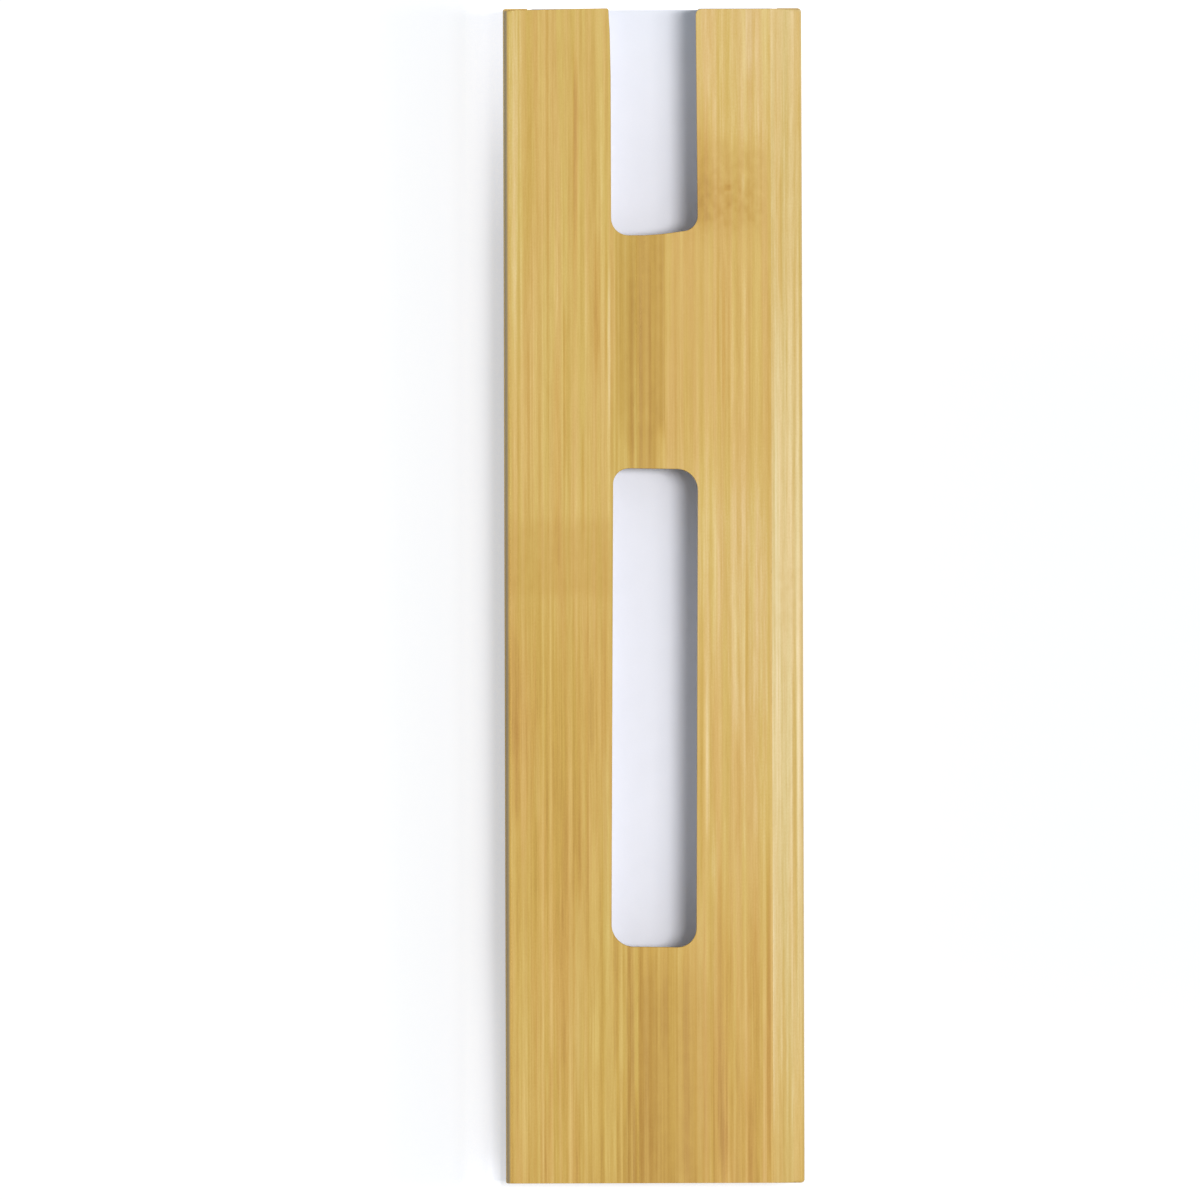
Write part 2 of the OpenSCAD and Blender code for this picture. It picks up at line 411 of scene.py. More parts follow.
    # The marks wander a little from side to side, as the fibres do
    if marks:
        sway = add(tree, "ShaderNodeMath", {0: grain("sway"), 1: SWAY, 2: -SWAY / 2},
                   operation="MULTIPLY_ADD")
        sway = add(tree, "ShaderNodeCombineXYZ", {"X": sway})
        swayed = add(tree, "ShaderNodeVectorMath", {0: sway, 1: place}, operation="ADD")
    for middle, half_x, half_y, darker in marks:
        here = shape(swayed, middle, half_x, half_y, MARK_SOFT_X, MARK_SOFT_Y)
        total = add(tree, "ShaderNodeMath", {0: here, 1: darker, 2: total}, operation="MULTIPLY_ADD")

    # Olive and reddish fibres lie side by side at the same tone, and a dark fibre is a little duller too
    reddish = bold_grain("reddish", 0.0, 1.0)
    for middle, half_x, half_y, soft_x, soft_y in golden:
        kept = add(tree, "ShaderNodeMath", {0: 1.0, 1: shape(place, middle, half_x, half_y, soft_x, soft_y)},
                   operation="SUBTRACT")
        reddish = add(tree, "ShaderNodeMath", {0: reddish, 1: kept}, operation="MULTIPLY")
    tint = add(tree, "ShaderNodeMix", {0: reddish, 6: colour(tints[0]), 7: colour(tints[1])}, out=2,
               data_type="RGBA")
    toned = add(tree, "ShaderNodeValToRGB", {0: total}, stops=BAMBOO_TONES)
    tinted = add(tree, "ShaderNodeVectorMath", {0: toned, 1: tint}, operation="MULTIPLY")
    duller = add(tree, "ShaderNodeMath", {0: wood, 1: -DULLER, 2: 1.0}, operation="MULTIPLY_ADD")
    paint = add(tree, "ShaderNodeVectorMath", {0: tinted, 1: duller}, operation="MULTIPLY")

    # Painted shade: grey laid where the rounded left edge turns away from the lamps, and not on the side face
    # below it
    if painted_edge_shade:
        facing = add(tree, "ShaderNodeNewGeometry", {}, out="Normal")
        facing = add(tree, "ShaderNodeSeparateXYZ", {0: facing}).node.outputs
        rim = [add(tree, "ShaderNodeMapRange", {"Value": facing[axis], "From Min": none_at,
                   "From Max": all_at, "To Min": 0.0, "To Max": most}, interpolation_type="SMOOTHSTEP")
               for axis, none_at, all_at, most in (("X", -0.15, -0.75, painted_edge_shade), ("Z", 0.25, 0.6, 1.0))]
        rim = add(tree, "ShaderNodeMath", {0: rim[0], 1: rim[1]}, operation="MULTIPLY")
        paint = add(tree, "ShaderNodeMix", {0: rim, 6: paint, 7: colour(EDGE_SHADE_GREY)}, out=2,
                    data_type="RGBA")

    rough = add(tree, "ShaderNodeMath", {0: lines, 1: ROUGHER_LINES, 2: BAMBOO_ROUGHNESS},
                operation="MULTIPLY_ADD")
    relief = add(tree, "ShaderNodeMath", {0: hairs, 1: 0.5, 2: fibres}, operation="MULTIPLY_ADD")
    surface(tree, paint, rough, BAMBOO_GLOSS, relief, depth=0.02)
    return made


END_GROUND = ("#DBBC7C", "#CDA661")
END_ROUGHNESS = 0.65
BUNDLE_BROWN = "#93692F"
BUNDLE_SPACING = (0.58, 40.0, 0.5)           # of the fibre bundles, across, along and through the stave


def bamboo_end_grain(name, shift, bark, ground=END_GROUND):
    """Bamboo sawn across and sanded: the fibre bundles show as brown dots, half a millimetre apart, bolder
    towards the bark and thinning out towards the pith, on a ground that drinks more oil than the face does.
    bark gives the axis that runs from the pith to the bark, and where on it each of them lies, in mm."""
    made, tree = new_material(name)
    place = place_in_mm(tree)
    axis, pith_at, bark_at = bark
    depth = add(tree, "ShaderNodeSeparateXYZ", {0: place}, out=axis)
    depth = add(tree, "ShaderNodeMapRange", {"Value": depth, "From Min": pith_at, "From Max": bark_at})
    moved = add(tree, "ShaderNodeVectorMath", {0: place, 1: shift}, operation="ADD")
    squeezed = add(tree, "ShaderNodeVectorMath", {0: moved, 1: [1 / s for s in BUNDLE_SPACING]},
                   operation="MULTIPLY")
    away = add(tree, "ShaderNodeTexVoronoi", {"Vector": squeezed, "Scale": 1.0, "Randomness": 0.8})
    thinned = add(tree, "ShaderNodeMath", {0: depth, 1: -0.24, 2: 0.12}, operation="MULTIPLY_ADD")
    away = add(tree, "ShaderNodeMath", {0: away, 1: thinned}, operation="ADD")
    dots = add(tree, "ShaderNodeMapRange", {"Value": away, "From Min": 0.05, "From Max": 0.42,
               "To Min": 1.0, "To Max": 0.0}, interpolation_type="SMOOTHSTEP")
    cloud = add(tree, "ShaderNodeTexNoise", {"Vector": moved, "Scale": 0.5, "Detail": 2.0})
    cloud = add(tree, "ShaderNodeMath", {0: cloud, 1: 0.35, 2: depth}, operation="MULTIPLY_ADD")
    between = add(tree, "ShaderNodeValToRGB", {0: cloud}, stops=[(0.1, ground[0]), (1.0, ground[1])])
    paint = add(tree, "ShaderNodeMix", {0: dots, 6: between, 7: colour(BUNDLE_BROWN)}, out=2,
                data_type="RGBA")
    surface(tree, paint, END_ROUGHNESS, BAMBOO_GLOSS, dots, depth=0.03, sunken=True)
    return made


def white_board(name):
    """Bleached white tray board, cut and folded: matt, faintly blue, with the felt of its paper fibres about
    a third of a millimetre across, and a hardly visible cloudiness."""
    made, tree = new_material(name)
    place = place_in_mm(tree)
    felt = add(tree, "ShaderNodeTexNoise", {"Vector": place, "Scale": 1 / 0.35, "Detail": 4.0,
                                            "Roughness": 0.6})
    cloud = add(tree, "ShaderNodeTexNoise", {"Vector": place, "Scale": 1 / 9.0, "Detail": 2.0})
    shade = add(tree, "ShaderNodeMath", {0: felt, 1: 0.25, 2: cloud}, operation="MULTIPLY_ADD")
    white = add(tree, "ShaderNodeValToRGB", {0: shade}, stops=[(0.3, "#E6E7F0"), (0.9, "#EAEBF4")])
    surface(tree, white, roughness=0.85, gloss=0.2, relief=felt, depth=0.02, strength=0.25)
    return made


def white_foam(name):
    """Closed-cell polyethylene foam, sliced: matt white with cut cells about half a millimetre across."""
    made, tree = new_material(name)
    cells = add(tree, "ShaderNodeTexVoronoi", {"Vector": place_in_mm(tree), "Scale": 1 / 0.55},
                feature="SMOOTH_F1")
    white = add(tree, "ShaderNodeValToRGB", {0: cells}, stops=[(0.0, "#E9E9EE"), (0.7, "#F4F4F8")])
    surface(tree, white, roughness=0.95, gloss=0.15, relief=cells, depth=0.06, strength=0.5, ior=1.4)
    return made


def dress(piece, material, end_grain=None):
    """Gives the piece its material, and the end grain to every face that a saw left across the fibres."""
    piece.data.materials.clear()
    piece.data.materials.append(material)
    if end_grain:
        piece.data.materials.append(end_grain)
        pick(piece, "FACE", lambda middle, normal: abs(normal.y) > 0.75)
        piece.active_material_index = 1
        bpy.ops.object.material_slot_assign()
        bpy.ops.object.mode_set(mode="OBJECT")


# The sleeve

def panel(name, low_z, high_z, outer_z):
    """A panel of the sleeve before it is divided, with its outer long edges sanded round."""
    made = block(name, (LEFT_X, CLOSED_Y, low_z), (RIGHT_X, OPEN_Y, high_z))
    round_edges(made, LONG_EDGE_R, lambda a, b: level_at(a, b, outer_z) and at(a.x, b.x), segments=5)
    return made


def round_corners(piece):
    """Rounds the upright corners of the case on this piece, each as much as it was sanded."""
    for (side, end), radius in CORNER_RADII.items():
        round_edges(piece, radius, lambda a, b: at(a.y, b.y) and all(
            side * p.x > RIGHT_X - CORNER_ZONE_X and end * p.y > OPEN_Y - CORNER_ZONE_Y for p in (a, b)),
            segments=6)


def outline(a, b, z):
    """Whether an edge lies in the outline of the face at z, but isn't one of its long edges."""
    long_edge = at(a.x, b.x) and abs(a.x) > RIGHT_X - LONG_EDGE_ZONE
    return level_at(a, b, z) and max(abs(a.x), abs(b.x)) < RIGHT_X - SIDE_ZONE and not long_edge


def corner(piece, radius, x, y):
    """Rounds the upright edge of a cutter that stands at x, y."""
    round_edges(piece, radius, lambda a, b: all(
        abs(p.x - x) < CUTTER_ZONE and abs(p.y - y) < CUTTER_ZONE for p in (a, b)), segments=10)


def notch_cutter():
    """The notch as it was sawn: its foot slants up on the right, and its left side flares at the mouth."""
    left, right = OPENINGS_X - NOTCH_W / 2, OPENINGS_X + NOTCH_W / 2
    foot, beyond = OPEN_Y - NOTCH_L, OPEN_Y + CUTTER_PAST_END
    made = block("notch_cutter", (left, foot, FRONT_Z - CUTTER_PAST_FACE),
                 (right, beyond, TOP_Z + CUTTER_PAST_FACE))
    for across, rise in NOTCH_FOOT_BENDS:
        x = OPENINGS_X + across
        score(made, (x, 0, 0), (1, 0, 0))
        draw(made, (0, rise, 0), lambda p: at(p.x, x) and at(p.y, foot))
    draw(made, (NOTCH_FOOT_LEAN, NOTCH_FOOT_RISE, 0), lambda p: at(p.x, right) and at(p.y, foot))
    for inwards, flare in NOTCH_SIDE_BENDS:
        y = OPEN_Y - inwards
        score(made, (0, y, 0), (0, 1, 0))
        draw(made, (flare, 0, 0), lambda p: at(p.x, left) and at(p.y, y))
    draw(made, (NOTCH_FLARE, 0, 0), lambda p: at(p.x, left) and at(p.y, beyond))
    corner(made, NOTCH_FOOT_LEFT_R, left, foot)
    corner(made, NOTCH_FOOT_RIGHT_R, right + NOTCH_FOOT_LEAN, foot + NOTCH_FOOT_RISE)
    return made


def window_cutter():
    """The window as it was sawn, a third of a degree askew."""
    made = block("window_cutter", (-1, -1, FRONT_Z - CUTTER_PAST_FACE), (1, 1, TOP_Z + CUTTER_PAST_FACE))
    for (side, end), (x, y, radius) in WINDOW_CORNERS.items():
        draw(made, (x - side, y - end, 0), lambda p: at(p.x, side) and at(p.y, end))
    for x, y, radius in WINDOW_CORNERS.values():
        corner(made, radius, x, y)
    return made


def front_panel():
    """The front panel with its openings, undivided."""
    made = panel("front_panel", FRONT_Z, TOP_Z, TOP_Z)
    cut_away(made, notch_cutter())
    cut_away(made, window_cutter())

    pick(made, "VERT", lambda p: p.x < LEFT_X + WEAR_ZONE_X and p.z > TOP_Z - WEAR_ZONE_Z)
    bpy.ops.transform.resize(value=(1, 1, LEFT_EDGE_WEAR), center_override=(LEFT_X * MM, 0, TOP_Z * MM))
    bpy.ops.object.mode_set(mode="OBJECT")

    # The open end was sawn a hair out of square
    draw(made, (0, LEFT_CORNER_BACK, 0), lambda p: at(p.y, OPEN_Y) and p.x < LEFT_X + LEFT_CORNER_ZONE)
    draw(made, (0, RIGHT_HALF_BACK, 0), lambda p: at(p.y, OPEN_Y) and p.x > 0)
    round_corners(made)
    for side, radius in NOTCH_MOUTH_RADII.items():
        round_edges(made, radius, lambda a, b: not at(a.z, b.z) and all(
            p.y > OPEN_Y - MOUTH_ZONE_Y and abs(p.x - side * NOTCH_W / 2) < MOUTH_ZONE_X for p in (a, b)),
            segments=6)

    # Sandpaper has broken every edge of the front face, and a little those behind the openings
    round_edges(made, FRONT_ARRIS, lambda a, b: outline(a, b, TOP_Z), segments=3)
    round_edges(made, HIDDEN_ARRIS, lambda a, b: level_at(a, b, FRONT_Z) and all(
        abs(p.x) < NOTCH_W / 2 + OPENING_ZONE_X and abs(p.y) < OPEN_Y - OPEN_END_ZONE for p in (a, b)),
        segments=2)
    return made


def back_panel():
    """The back panel, undivided."""
    made = panel("back_panel", BOTTOM_Z, BACK_Z, BOTTOM_Z)
    round_corners(made)
    round_edges(made, BACK_ARRIS, lambda a, b: outline(a, b, BOTTOM_Z), segments=3)
    return made


def stave(board, name, left_x, right_x, material, end_grain):
    """One stave sawn from a panel, with a hairline arris along each glued seam."""
    made = copy_of(board, name)
    seams = [x for x in (left_x, right_x) if x not in (LEFT_X, RIGHT_X)]
    if left_x in seams:
        saw(made, left_x, "right")
    if right_x in seams:
        saw(made, right_x, "left")
    round_edges(made, SEAM_ARRIS, lambda a, b: any(at(a.x, x) and at(b.x, x) for x in seams)
                and at(a.z, b.z) and abs(a.y - b.y) > SHORTEST_SEAM_EDGE, segments=1)
    finish_surface(made)
    dress(made, material, end_grain)
    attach(made, "sleeve")
    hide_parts(name.replace("bamboo_", ""))


def staves(board, bark, rows):
    """Divides a panel into its staves and puts the panel away."""
    for node, left_x, right_x, slot, wood, end_shift, end_ground in rows:
        words = node.replace("_stave_", " ")
        stave(board, "bamboo_" + node, left_x, right_x, bamboo("oiled bamboo stave " + words, **wood),
              bamboo_end_grain("sawn bamboo end " + words, end_shift, bark, end_ground))
    bpy.data.objects.remove(board)


def rail(name, node, corners_too, material, end_grain=None):
    """A rail or block glued between the panels, with a hairline arris along its glue lines."""
    low, high = cad_box(node)
    made = block(name, low, high)
    if corners_too:
        round_corners(made)
    round_edges(made, SEAM_ARRIS, lambda a, b: level_at(a, b, low.z) or level_at(a, b, high.z), segments=1)
    finish_surface(made)
    dress(made, material, end_grain)
    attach(made, "sleeve")
    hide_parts(node)


# The tray

def tray():
    """One piece of white board: a floor plate whose rim is drawn up into walls, but not behind the notch."""
    low, high = cad_box("tray")
    floor_z = low.z + TRAY_FLOOR_T
    made = block("board_tray", low, (high.x, high.y, floor_z))
    pick(made, "FACE", lambda middle, normal: normal.z > 0.9)
    bpy.ops.mesh.inset(thickness=TRAY_WALL_T * MM, use_even_offset=True)
    bpy.ops.object.mode_set(mode="OBJECT")
    for x in (-HEAD_GAP_W / 2, HEAD_GAP_W / 2):
        score(made, (x, 0, 0), (1, 0, 0))

    def rim(middle, normal):
        beside = abs(middle.x) > high.x - TRAY_WALL_T
        beyond = not low.y + TRAY_WALL_T < middle.y < high.y - TRAY_WALL_T
        in_gap = abs(middle.x) < HEAD_GAP_W / 2 and middle.y > 0
        return normal.z > 0.9 and (beside or beyond) and not in_gap
    pick(made, "FACE", rim)
    bpy.ops.mesh.extrude_region_move(TRANSFORM_OT_translate={"value": (0, 0, (high.z - floor_z) * MM)})
    bpy.ops.mesh.select_all(action="SELECT")
    bpy.ops.mesh.dissolve_limited(angle_limit=math.radians(0.1))
    bpy.ops.object.mode_set(mode="OBJECT")

    round_edges(made, TRAY_CORNER_R, lambda a, b: upright(a, b) and at(abs(a.x), high.x)
                and (at(a.y, low.y) or at(a.y, high.y)), segments=6)
    round_edges(made, TRAY_RIM_R, lambda a, b: level_at(a, b, high.z), segments=3)
    round_edges(made, HEAD_GAP_R, lambda a, b: upright(a, b) and at(abs(a.x), HEAD_GAP_W / 2), segments=2)
    finish_surface(made)
    dress(made, white_board("folded bleached board"))
    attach(made, "drawer")
    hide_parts("tray")


def liner(name, node, side, material):
    """One foam strip, with its edge along the pen's slot rounded and the others hardly."""
    low, high = cad_box(node)
    made = block(name, low, high)
    slot_x = low.x if side > 0 else high.x
    round_edges(made, LINER_SLOT_R, lambda a, b: all(at(p.z, high.z) and at(p.x, slot_x) for p in (a, b)),
                segments=6)
    round_edges(made, LINER_EDGE_R, lambda a, b: level_at(a, b, high.z)
                and not (at(a.x, b.x) and abs(a.x - slot_x) < LINER_SLOT_R + LINER_EDGE_R), segments=2)
    finish_surface(made)
    dress(made, material)
    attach(made, "drawer")
    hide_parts(node)


# The wood of each stave, which bamboo() explains

FRONT_LEFT_WOOD = {
    "tones": [(0.0, 0.54), (0.42, 0.6), (0.6, 0.75), (0.78, 0.735), (0.88, 0.665), (0.94, 0.655),
              (1.0, 0.71)],
    "shift": (140.0, 300.0, 20.0),
    "streaks": [(0.0, 0.8), (0.5, 0.9), (0.8, 1.2), (1.0, 1.2)],
    # How strongly painted shade greys the rounded left edge
    "painted_edge_shade": 0.8,
    "golden": [((-1.9, 40.0), 3.5, 24.0, 0.05, 0.3), ((-5.0, -68.0), 5.0, 26.0, 0.3, 0.3)],
    "marks": [((-19.9, 62.0), 0.75, 24.0, -0.12), ((-16.5, 70.0), 1.5, 22.0, 0.1),
              ((-11.2, 64.0), 0.3, 13.0, 0.22), ((-12.7, 30.0), 0.28, 11.0, 0.2),
              ((-10.2, 16.0), 0.2, 7.0, 0.15), ((-6.8, 42.0), 0.2, 9.0, 0.14),
              ((-6.3, 37.0), 0.2, 10.0, -0.15), ((-20.2, -13.6), 0.8, 8.0, 0.12),
              ((-3.12, 32.0), 0.36, 16.0, 0.17), ((-3.15, 17.0), 0.4, 9.0, 0.15),
              ((-2.5, 26.0), 0.26, 9.0, -0.13), ((-20.2, -64.0), 0.9, 24.0, 0.07),
              ((-8.3, -77.0), 1.0, 11.0, 0.1), ((-5.6, -58.0), 0.4, 10.0, 0.16),
              ((-3.5, -60.5), 0.5, 13.0, 0.28), ((-3.9, -80.0), 1.5, 10.0, 0.14),
              ((-3.0, -81.0), 0.45, 8.0, 0.15), ((-7.0, -37.0), 0.5, 17.0, -0.24),
              ((-11.0, -57.0), 0.5, 15.0, -0.2), ((-14.0, 20.0), 0.45, 15.0, 0.18),
              ((-11.1, 58.0), 0.45, 28.0, 0.14), ((-8.0, 42.0), 0.5, 9.0, 0.14),
              ((-17.0, -26.0), 0.4, 7.0, -0.13), ((-9.0, -17.0), 0.4, 6.0, 0.13),
              ((-15.0, -74.0), 0.4, 8.0, 0.13), ((-20.0, -25.0), 0.5, 7.0, 0.13)],
    "patches": [((-12.0, 5.5), 14.0, 5.4, 0.06, 0.1, 0.1, 0.25, 1.0),
                ((-1.9, 45.0), 3.4, 21.0, 0.16, 0.1, 0.08, 0.3, 2.0)]}

FRONT_CENTRE_WOOD = {
    "tones": [(0.0, 0.46), (0.1, 0.5), (0.2, 0.59), (0.36, 0.58), (0.44, 0.45), (0.7, 0.53), (0.8, 0.66),
              (1.0, 0.71)],
    "shift": (520.0, 80.0, 60.0),
    "streaks": [(0.0, 0.5), (0.3, 0.7), (0.75, 0.8), (1.0, 1.25)],
    "tints": ("#FDFCF2", "#FFF8FF"),
    "golden": [((-1.9, 40.0), 3.6, 24.0, 0.05, 0.3), ((0.5, -68.0), 5.0, 26.0, 0.4, 0.3)],
    "marks": [((14.3, -5.0), 2.9, 80.0, -0.04), ((14.0, -8.0), 2.6, 9.0, -0.035),
              ((14.0, 75.0), 3.5, 12.0, -0.03), ((-1.8, 30.0), 0.24, 17.0, 0.13),
              ((-0.48, 31.0), 0.2, 15.0, 0.12), ((-2.25, 24.0), 0.2, 8.0, -0.1),
              ((1.3, 41.0), 0.25, 11.0, 0.07), ((0.0, 42.0), 0.3, 9.0, -0.06),
              ((-1.2, 28.0), 0.3, 10.0, -0.04), ((1.0, 21.0), 0.8, 5.0, 0.1),
              ((9.35, 38.0), 0.18, 11.0, 0.12), ((10.2, 37.0), 0.22, 10.0, 0.14),
              ((9.78, 37.0), 0.15, 9.0, -0.06), ((4.2, 29.0), 0.16, 8.0, 0.1),
              ((16.85, 5.0), 0.3, 34.0, 0.1), ((16.5, -58.0), 0.3, 22.0, 0.19),
              ((14.45, -62.0), 0.22, 20.0, 0.14), ((12.0, -68.0), 0.25, 16.0, 0.12),
              ((7.0, -23.0), 0.35, 17.0, 0.16), ((-1.2, -62.0), 1.4, 24.0, 0.12),
              ((1.5, -57.0), 0.5, 9.0, 0.14), ((2.5, -72.0), 0.4, 14.0, -0.1),
              ((4.5, -66.0), 0.45, 24.0, 0.16), ((6.5, -66.0), 0.45, 26.0, -0.19),
              ((8.5, -48.0), 0.4, 14.0, -0.14), ((10.2, -66.0), 0.4, 18.0, 0.19),
              ((13.0, -79.0), 0.9, 9.0, 0.13), ((7.4, 61.5), 1.1, 7.0, 0.16),
              ((12.0, -29.0), 0.45, 8.0, 0.17), ((9.0, -24.0), 0.45, 11.0, 0.15),
              ((14.0, 81.0), 0.5, 5.0, -0.12), ((10.0, -81.0), 0.4, 5.0, 0.12),
              ((7.75, -22.0), 0.25, 10.0, -0.12), ((13.45, -7.0), 0.22, 11.0, 0.15),
              ((9.45, -60.0), 0.3, 24.0, 0.25), ((10.9, 59.0), 0.45, 0.45, 0.2),
              ((13.1, 59.3), 0.22, 1.5, -0.14)],
    "patches": [((-1.9, 45.0), 3.62, 20.5, 0.21, 0.1, 0.02, 0.13, 2.5),
                ((-1.2, 19.5), 1.6, 5.2, 0.2, 0.05, 0.35, 0.3, 2.0),
                ((5.0, 41.0), 3.6, 11.0, 0.0, 0.05, 0.3, 0.4, 3.0),
                ((2.5, -72.0), 5.5, 18.0, 0.1, 0.1, 0.4, 0.3, 3.0),
                ((11.1, 58.9), 5.2, 6.4, 0.09, 0.29, 0.4, 0.4, 1.5),
                ((10.0, 56.5), 4.6, 2.8, 0.09, 0.25, 0.5, 0.5, 1.0)]}

FRONT_RIGHT_WOOD = {
    "tones": [(0.0, 0.36), (0.1, 0.41), (0.25, 0.42), (0.35, 0.36), (0.5, 0.295), (0.58, 0.3), (0.63, 0.295),
              (0.8, 0.39), (0.9, 0.47), (1.0, 0.58)],
    "shift": (260.0, 640.0, 90.0),
    "streaks": [(0.0, 0.6), (0.5, 0.75), (1.0, 0.9)],
    "tints": ("#FAFBFC", "#FFFBFF"),
    "marks": [((17.9, 10.0), 0.35, 30.0, -0.07), ((17.3, -58.0), 0.22, 18.0, -0.1),
              ((18.4, 52.0), 0.25, 9.0, 0.16), ((18.4, -78.0), 0.25, 8.0, 0.16),
              ((20.4, -30.0), 0.3, 22.0, 0.12)],
    "patches": [((19.5, 0.0), 4.0, 5.0, 0.02, 0.15, 0.1, 0.3, 1.0)]}

BACK_LEFT_WOOD = {"tones": [(0.0, 0.3), (1.0, 0.36)], "shift": (30.0, 910.0, 33.0)}

BACK_CENTRE_WOOD = {
    "tones": [(0.0, 0.55), (0.6, 0.48), (1.0, 0.56)],
    "shift": (710.0, 40.0, 12.0),
    "marks": [((-7.0, 20.0), 0.3, 30.0, 0.16), ((1.5, -50.0), 0.4, 22.0, 0.15)],
    "patches": [((-4.5, -31.0), 14.0, 5.0, 0.12, 0.35, 0.1, 0.35, 1.5)]}

BACK_RIGHT_WOOD = {
    "tones": [(0.0, 0.42), (1.0, 0.54)],
    "shift": (830.0, 470.0, 71.0),
    "marks": [((9.0, -12.0), 0.3, 26.0, 0.16), ((17.0, 60.0), 0.5, 16.0, -0.14)],
    "patches": [((14.0, 48.0), 14.0, 4.6, 0.1, 0.3, 0.1, 0.35, 1.5)]}

PALE_END_GROUND = ("#E2C78E", "#D3B070")


# The case, piece by piece

staves(front_panel(), ("Z", FRONT_Z, TOP_Z), (
    ("front_stave_left", LEFT_X, FRONT_SEAM_1_X, "bamboo_golden", FRONT_LEFT_WOOD,
     (3.0, 0.0, 1.0), ("#D9B877", "#C99F58")),
    ("front_stave_centre", FRONT_SEAM_1_X, FRONT_SEAM_2_X, "bamboo_golden", FRONT_CENTRE_WOOD,
     (17.0, 0.0, 4.0), END_GROUND),
    ("front_stave_right", FRONT_SEAM_2_X, RIGHT_X, "bamboo_pale", FRONT_RIGHT_WOOD,
     (31.0, 0.0, 7.0), PALE_END_GROUND)))
staves(back_panel(), ("Z", BACK_Z, BOTTOM_Z), (
    ("back_stave_left", LEFT_X, BACK_SEAM_1_X, "bamboo_pale", BACK_LEFT_WOOD,
     (45.0, 0.0, 2.0), PALE_END_GROUND),
    ("back_stave_centre", BACK_SEAM_1_X, BACK_SEAM_2_X, "bamboo_golden", BACK_CENTRE_WOOD,
     (59.0, 0.0, 5.0), ("#D6B370", "#C69B54")),
    ("back_stave_right", BACK_SEAM_2_X, RIGHT_X, "bamboo_golden", BACK_RIGHT_WOOD,
     (73.0, 0.0, 8.0), END_GROUND)))

# The staves on edge have their bark side outwards, and one knuckle each
for side_rail, outer_x, inner_x, tone, shift, knuckle_y in (
        ("left_side_rail", LEFT_X, cad_box("left_side_rail")[1].x, 0.54, (95.0, 220.0, 41.0), 21.0),
        ("right_side_rail", RIGHT_X, cad_box("right_side_rail")[0].x, 0.62, (610.0, 350.0, 19.0), -44.0)):
    words = side_rail.replace("_", " ")
    rail("bamboo_" + side_rail, side_rail, True,
         bamboo("oiled bamboo " + words, [(0.0, tone), (0.5, tone + 0.06), (1.0, tone)], shift,
                patches=[((outer_x, knuckle_y), 6.0, 3.4, 0.07, 0.3, 0.1, 0.6, 2.0)]),
         bamboo_end_grain("sawn bamboo end " + words, (shift[0], 0.0, 3.0), ("X", inner_x, outer_x),
                          ("#CFA964", "#BC8F4A")))
rail("bamboo_end_block", "end_block", False,
     bamboo("oiled bamboo end block", [(0.0, 0.44), (1.0, 0.44)], (410.0, 150.0, 27.0), across=True))

tray()
foam = white_foam("sliced white foam")
liner("foam_liner_left", "liner_left", -1, foam)
liner("foam_liner_right", "liner_right", 1, foam)


# Table, light and camera

# The shade beside the case is painted in part, because the lamps' own is too dark 2 to 4 mm from the case and
# too light further out. This is the table's white as the camera sees it, from 24 mm left of the case to its
# left edge.
SHADOW_FROM_X, SHADOW_TO_X = -46.0, -21.0
TABLE_WHITE = [(0.0, 0.48), (0.25, 0.45), (0.37, 0.43), (0.6, 0.42), (0.72, 0.43), (0.776, 0.47),
               (0.805, 0.515), (0.835, 0.553), (0.865, 0.57), (0.892, 0.545), (0.922, 0.48), (1.0, 0.455)]
# How much lighter it is towards the case's two ends, on the same way to its left edge, and how far along the
# case that reaches, from beyond the open end, 0, to beyond the closed end, 1
SHADOW_END_Y = 90.0
OPEN_END_LIGHT = [(0.0, 0.0), (0.75, 0.0), (0.83, 0.09), (0.87, 0.19), (0.92, 0.34), (1.0, 0.38)]
OPEN_END_REACH = [(0.0, 1.0), (0.06, 0.95), (0.1, 0.75), (0.15, 0.38), (0.22, 0.08), (0.32, 0.0)]
CLOSED_END_LIGHT = [(0.0, 0.0), (0.7, 0.05), (0.8, 0.22), (0.86, 0.36), (0.885, 0.55), (0.92, 0.5),
                    (0.935, 0.4), (0.948, 0.15), (1.0, 0.12)]
CLOSED_END_REACH = [(0.78, 0.0), (0.85, 0.12), (0.93, 0.23), (0.95, 0.32), (0.98, 0.75)]
CASE_REACH = [(0.0, 0.0), (0.03, 1.0), (0.97, 1.0), (1.0, 0.0)]

TABLE_SIZE_M = 12
LAMP_DISTANCE_M = 6.0
LAMPS_ALONG = 0.6                            # how far towards the open end both lamps stand, in degrees
# Tilt from straight above, half the width and height under which the case sees it, in degrees, and power in W
LAMPS = {"soft_box": (11.2, 6.2, 3.0, 215.0), "reflector": (20.5, 6.0, 3.0, 51.0)}
CAMERA_HEIGHT_M = 4.0                        # above the front panel
VIEW_WIDTH_M = 0.1736                        # what the frame shows of the front panel's plane
VIEW_CENTRE = (-7.77, -0.61)                 # where its middle lies on the case, in mm
VIEW_TURN = -0.16                            # the hair that the case lies askew, in degrees


def seen_directly(tree):
    """1 for what the camera, a gloss or glass sees, 0 for what lights the case."""
    sight = add(tree, "ShaderNodeLightPath", {}).node.outputs
    either = add(tree, "ShaderNodeMath", {0: sight["Is Camera Ray"], 1: sight["Is Glossy Ray"]},
                 operation="MAXIMUM")
    return add(tree, "ShaderNodeMath", {0: either, 1: sight["Is Transmission Ray"]}, operation="MAXIMUM")


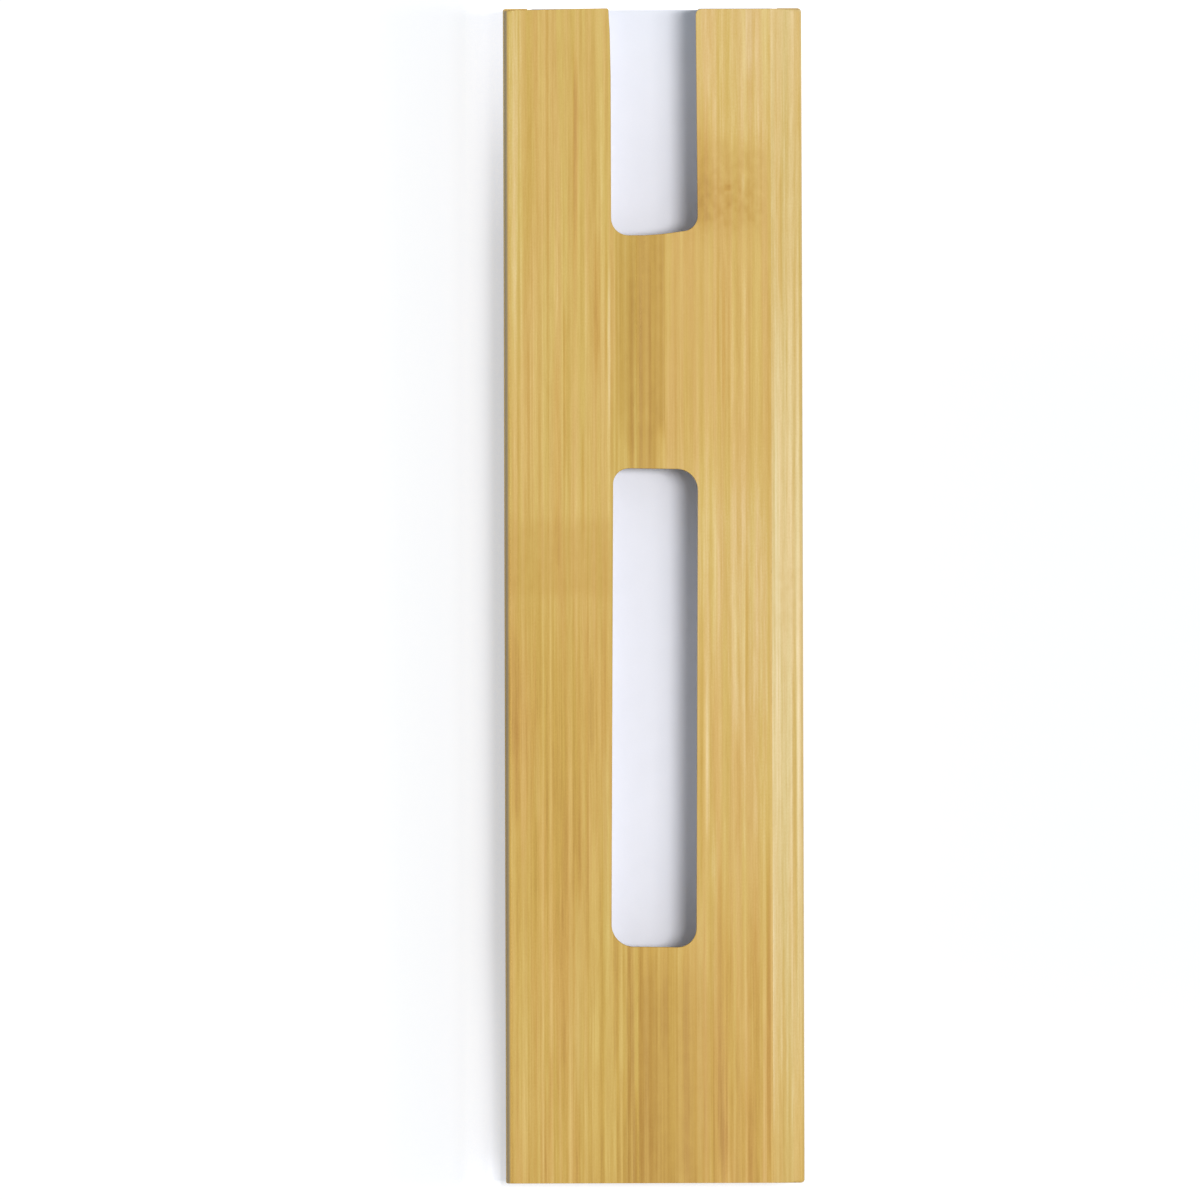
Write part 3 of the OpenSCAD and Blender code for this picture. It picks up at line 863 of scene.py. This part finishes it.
def table_top():
    """A white table whose own white is shown to the camera, so that it stays paper white round the case and
    still takes the case's shadow, which the ramps above change on the left. What bounces off it onto the case
    is plain white paint."""
    bpy.ops.object.select_all(action="DESELECT")
    bpy.ops.mesh.primitive_plane_add(size=TABLE_SIZE_M, location=(0, 0, 0))
    made = bpy.context.object
    made.name = made.data.name = "table_top"
    paint, tree = new_material("white table paint")
    plain = add(tree, "ShaderNodeBsdfDiffuse", {"Color": (0.9, 0.9, 0.9, 1)})
    shaded = add(tree, "ShaderNodeBsdfDiffuse", {"Color": (0.55, 0.55, 0.55, 1)})
    place = add(tree, "ShaderNodeSeparateXYZ", {0: place_in_mm(tree)}).node.outputs
    beside = add(tree, "ShaderNodeMapRange", {"Value": place["X"], "From Min": SHADOW_FROM_X,
                 "From Max": SHADOW_TO_X})
    along = add(tree, "ShaderNodeMapRange", {"Value": place["Y"], "From Min": SHADOW_END_Y,
                "From Max": -SHADOW_END_Y})
    white = add(tree, "ShaderNodeValToRGB", {0: beside}, stops=TABLE_WHITE)
    for light, reach in ((OPEN_END_LIGHT, OPEN_END_REACH), (CLOSED_END_LIGHT, CLOSED_END_REACH)):
        light = add(tree, "ShaderNodeValToRGB", {0: beside}, stops=light)
        reach = add(tree, "ShaderNodeValToRGB", {0: along}, stops=reach)
        white = add(tree, "ShaderNodeMath", {0: light, 1: reach, 2: white}, operation="MULTIPLY_ADD")

    # The painted white is cooler near the case, so that the shade there comes out as neutral as the table
    near = add(tree, "ShaderNodeValToRGB", {0: beside}, stops=[(0.1, 0.0), (0.6, 1.0)])
    cool = add(tree, "ShaderNodeMix", {0: near, 6: (1, 1, 1, 1), 7: (0.94, 0.952, 1.025, 1)}, out=2,
               data_type="RGBA")
    white = add(tree, "ShaderNodeVectorMath", {0: cool, "Scale": white}, operation="SCALE")
    by_case = add(tree, "ShaderNodeValToRGB", {0: along}, stops=CASE_REACH)
    white = add(tree, "ShaderNodeMix", {0: by_case, 6: (0.5, 0.5, 0.5, 1), 7: white}, out=2, data_type="RGBA")
    glow = add(tree, "ShaderNodeEmission", {"Strength": 1.0, "Color": white})
    shown = add(tree, "ShaderNodeAddShader", {0: shaded, 1: glow})
    mixed = add(tree, "ShaderNodeMixShader", {0: seen_directly(tree), 1: plain, 2: shown})
    add(tree, "ShaderNodeOutputMaterial", {"Surface": mixed})
    made.data.materials.append(paint)


def studio_light():
    """A soft box up on the right and its reflector beyond it, set for the shadows in the window, and an even
    room of faintly blue white."""
    along = math.radians(LAMPS_ALONG)
    for name, (tilt, half_x, half_y, power) in LAMPS.items():
        tilt, half_x, half_y = math.radians(tilt), math.radians(half_x), math.radians(half_y)
        place = LAMP_DISTANCE_M * Vector((math.sin(tilt), math.sin(along), math.cos(tilt)))
        turn = place.to_track_quat("Z", "X").to_euler()
        bpy.ops.object.light_add(type="AREA", location=place, rotation=turn)
        lamp = bpy.context.object
        lamp.name, lamp.visible_camera = name, False
        lamp.data.shape = "ELLIPSE"
        lamp.data.size = 2 * LAMP_DISTANCE_M * math.tan(half_x)
        lamp.data.size_y = 2 * LAMP_DISTANCE_M * math.tan(half_y)
        lamp.data.energy = power

    room = bpy.data.worlds.new("white_room")
    room.use_nodes = True
    tree = room.node_tree
    tree.nodes.clear()
    walls = add(tree, "ShaderNodeBackground", {"Color": (0.88, 1.0, 1.05, 1), "Strength": 0.33})
    seen = add(tree, "ShaderNodeBackground", {"Color": (1, 1, 1, 1), "Strength": 1.0})
    shown = add(tree, "ShaderNodeMixShader", {0: seen_directly(tree), 1: walls, 2: seen})
    add(tree, "ShaderNodeOutputWorld", {"Surface": shown})
    bpy.context.scene.world = room


def overhead_camera():
    """Straight above the case."""
    view = bpy.data.cameras.new("overhead")
    camera = bpy.data.objects.new("overhead", view)
    bpy.context.scene.collection.objects.link(camera)
    view.sensor_fit, view.sensor_width = "HORIZONTAL", 36.0
    view.lens = view.sensor_width * CAMERA_HEIGHT_M / VIEW_WIDTH_M
    view.clip_start, view.clip_end = 0.05, 20.0
    camera.location = (VIEW_CENTRE[0] * MM, VIEW_CENTRE[1] * MM, TOP_Z * MM + CAMERA_HEIGHT_M)
    camera.rotation_euler = (0, 0, math.radians(VIEW_TURN))
    bpy.context.scene.camera = camera


table_top()
studio_light()
overhead_camera()
bpy.context.scene.view_settings.view_transform = "Standard"
